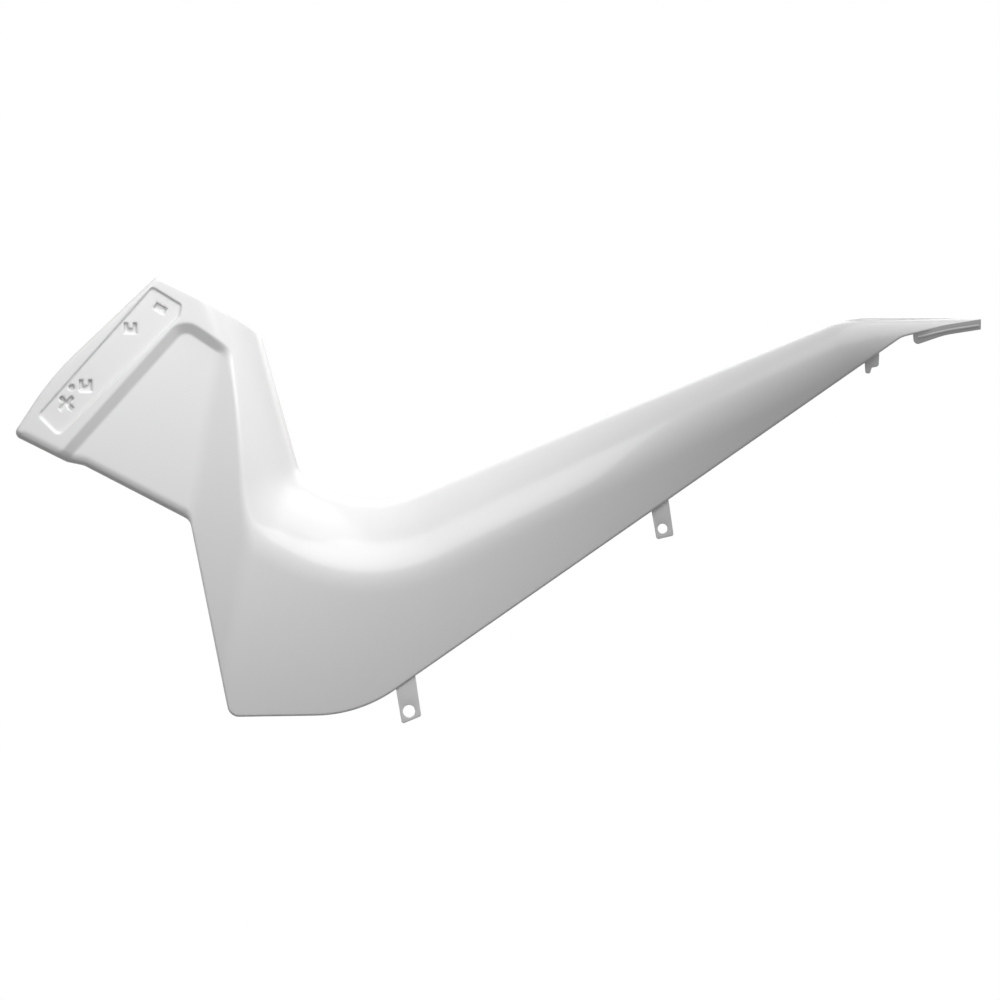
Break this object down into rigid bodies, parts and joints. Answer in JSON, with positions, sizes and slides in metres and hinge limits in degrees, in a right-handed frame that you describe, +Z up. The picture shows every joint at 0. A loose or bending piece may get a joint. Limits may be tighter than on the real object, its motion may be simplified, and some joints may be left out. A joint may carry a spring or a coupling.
{
  "type": "scooter side panel",
  "caption": "Left side panel of a scooter, a gloss white moulding with a recessed wing in front, two tabs with holes, a hook and a long tail that rises under the seat",
  "frame": {"origin": "centre of the front tab's hole, on the tab's outer face", "axes": "+X to the rear of the scooter, +Z up, +Y inwards to the scooter's middle; the outer face looks to -Y"},
  "size_m": [0.8228, 0.1143, 0.3798],
  "materials": {
    "panel_paint": "gloss white painted moulding"
  },
  "bodies": {
    "root": {"side_panel": "panel_paint"}
  },
  "joints": []
}
